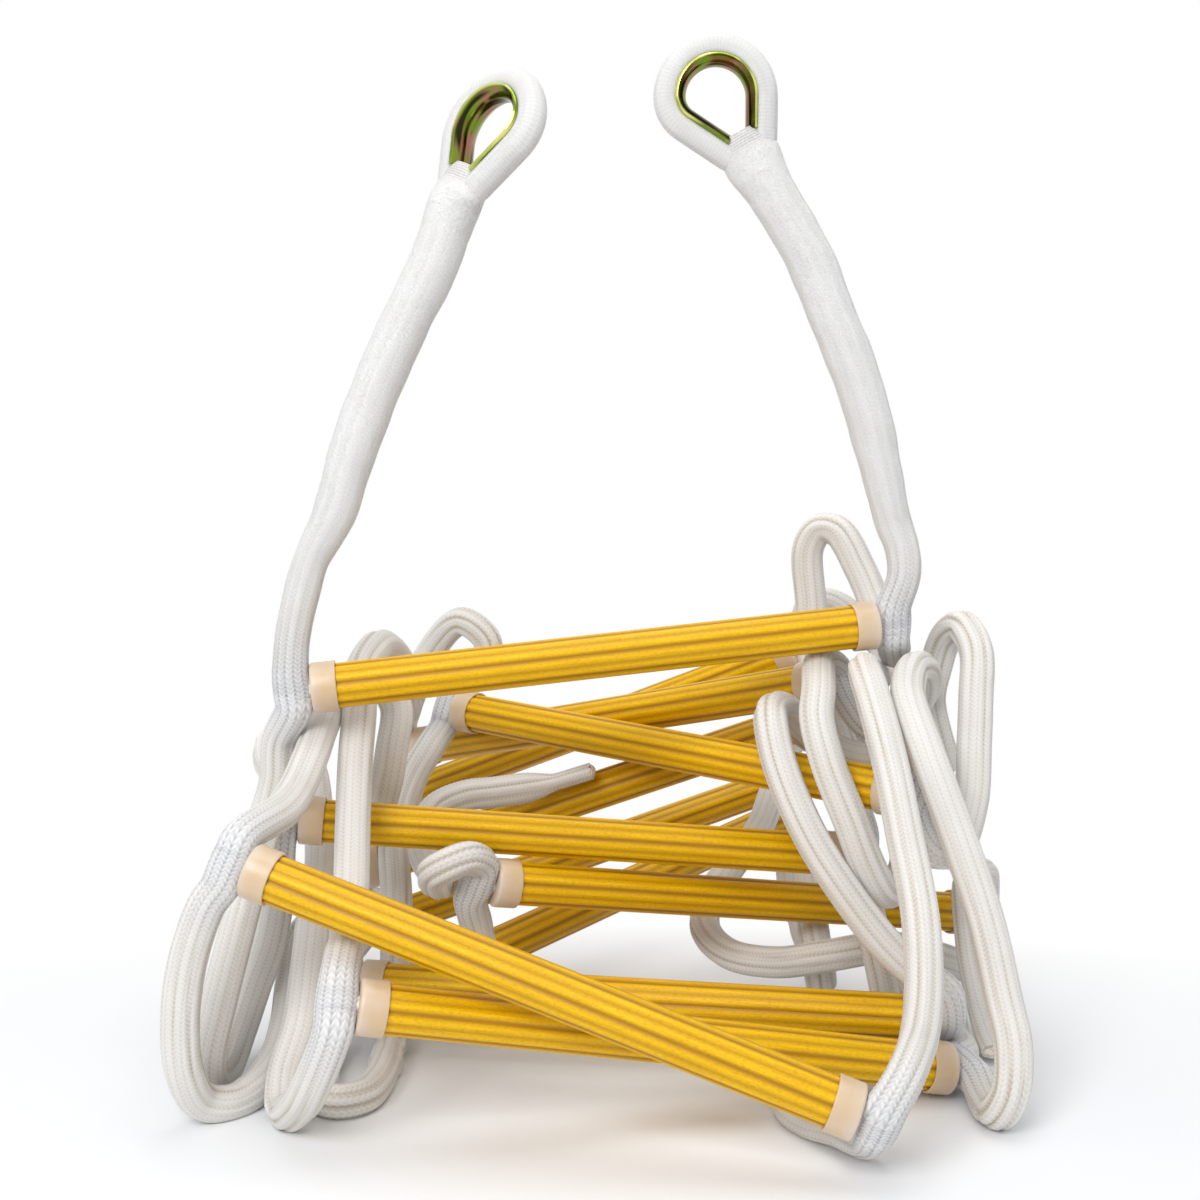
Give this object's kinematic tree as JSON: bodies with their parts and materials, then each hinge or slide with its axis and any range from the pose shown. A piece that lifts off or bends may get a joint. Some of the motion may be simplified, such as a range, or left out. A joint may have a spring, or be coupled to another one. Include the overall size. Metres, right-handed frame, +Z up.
{
  "type": "escape ladder",
  "caption": "Rope escape ladder in a pile: ribbed tubular rungs between two looped side ropes that end in splices round steel thimbles.",
  "frame": {"origin": "on the surface that the pile lies on, under the middle of its box", "axes": "+Z up; +X along the rungs, towards their right ends as the picture shows them; -Y towards the picture's camera"},
  "size_m": [0.4934, 0.4784, 0.5784],
  "materials": {
    "rung_tube": "semi-gloss yellow with ribs along it",
    "end_collar": "smooth, cloudy cream",
    "core_rope": "matt white braid",
    "side_rope": "matt white braid",
    "thimble": "bright yellow zinc plating"
  },
  "bodies": {
    "pile": {"rung_01_tube": "rung_tube", "rung_01_core": "core_rope", "rung_01_left_collar": "end_collar", "rung_01_right_collar": "end_collar", "rung_02_tube": "rung_tube", "rung_02_core": "core_rope", "rung_02_left_collar": "end_collar", "rung_02_right_collar": "end_collar", "rung_03_tube": "rung_tube", "rung_03_core": "core_rope", "rung_03_left_collar": "end_collar", "rung_03_right_collar": "end_collar", "rung_04_tube": "rung_tube", "rung_04_core": "core_rope", "rung_04_left_collar": "end_collar", "rung_04_right_collar": "end_collar", "rung_05_tube": "rung_tube", "rung_05_core": "core_rope", "rung_05_left_collar": "end_collar", "rung_05_right_collar": "end_collar", "rung_06_tube": "rung_tube", "rung_06_core": "core_rope", "rung_06_left_collar": "end_collar", "rung_06_right_collar": "end_collar", "rung_07_tube": "rung_tube", "rung_07_core": "core_rope", "rung_07_left_collar": "end_collar", "rung_07_right_collar": "end_collar", "rung_08_tube": "rung_tube", "rung_08_core": "core_rope", "rung_08_left_collar": "end_collar", "rung_08_right_collar": "end_collar", "rung_09_tube": "rung_tube", "rung_09_core": "core_rope", "rung_09_left_collar": "end_collar", "rung_09_right_collar": "end_collar", "rung_10_tube": "rung_tube", "rung_10_core": "core_rope", "rung_10_left_collar": "end_collar", "rung_10_right_collar": "end_collar", "rung_11_tube": "rung_tube", "rung_11_core": "core_rope", "rung_11_left_collar": "end_collar", "rung_11_right_collar": "end_collar", "rung_12_tube": "rung_tube", "rung_12_core": "core_rope", "rung_12_left_collar": "end_collar", "rung_12_right_collar": "end_collar", "left_side_rope_1": "side_rope", "left_side_rope_2": "side_rope", "left_side_rope_3": "side_rope", "left_side_rope_4": "side_rope", "right_side_rope_1": "side_rope", "right_side_rope_2": "side_rope", "right_side_rope_3": "side_rope", "right_side_rope_4": "side_rope"},
    "left_leg": {"left_eye_splice": "side_rope", "left_thimble": "thimble"},
    "right_leg": {"right_eye_splice": "side_rope", "right_thimble": "thimble"}
  },
  "joints": [
    {"name": "left_leg_swing", "type": "hinge", "parent": "pile", "child": "left_leg", "pos_m": [-0.1786, -0.0938, 0.2433], "axis": [1, 0, 0], "range_deg": [-35, 60]},
    {"name": "right_leg_swing", "type": "hinge", "parent": "pile", "child": "right_leg", "pos_m": [0.1633, -0.0527, 0.2752], "axis": [1, 0, 0], "range_deg": [-35, 60]}
  ]
}
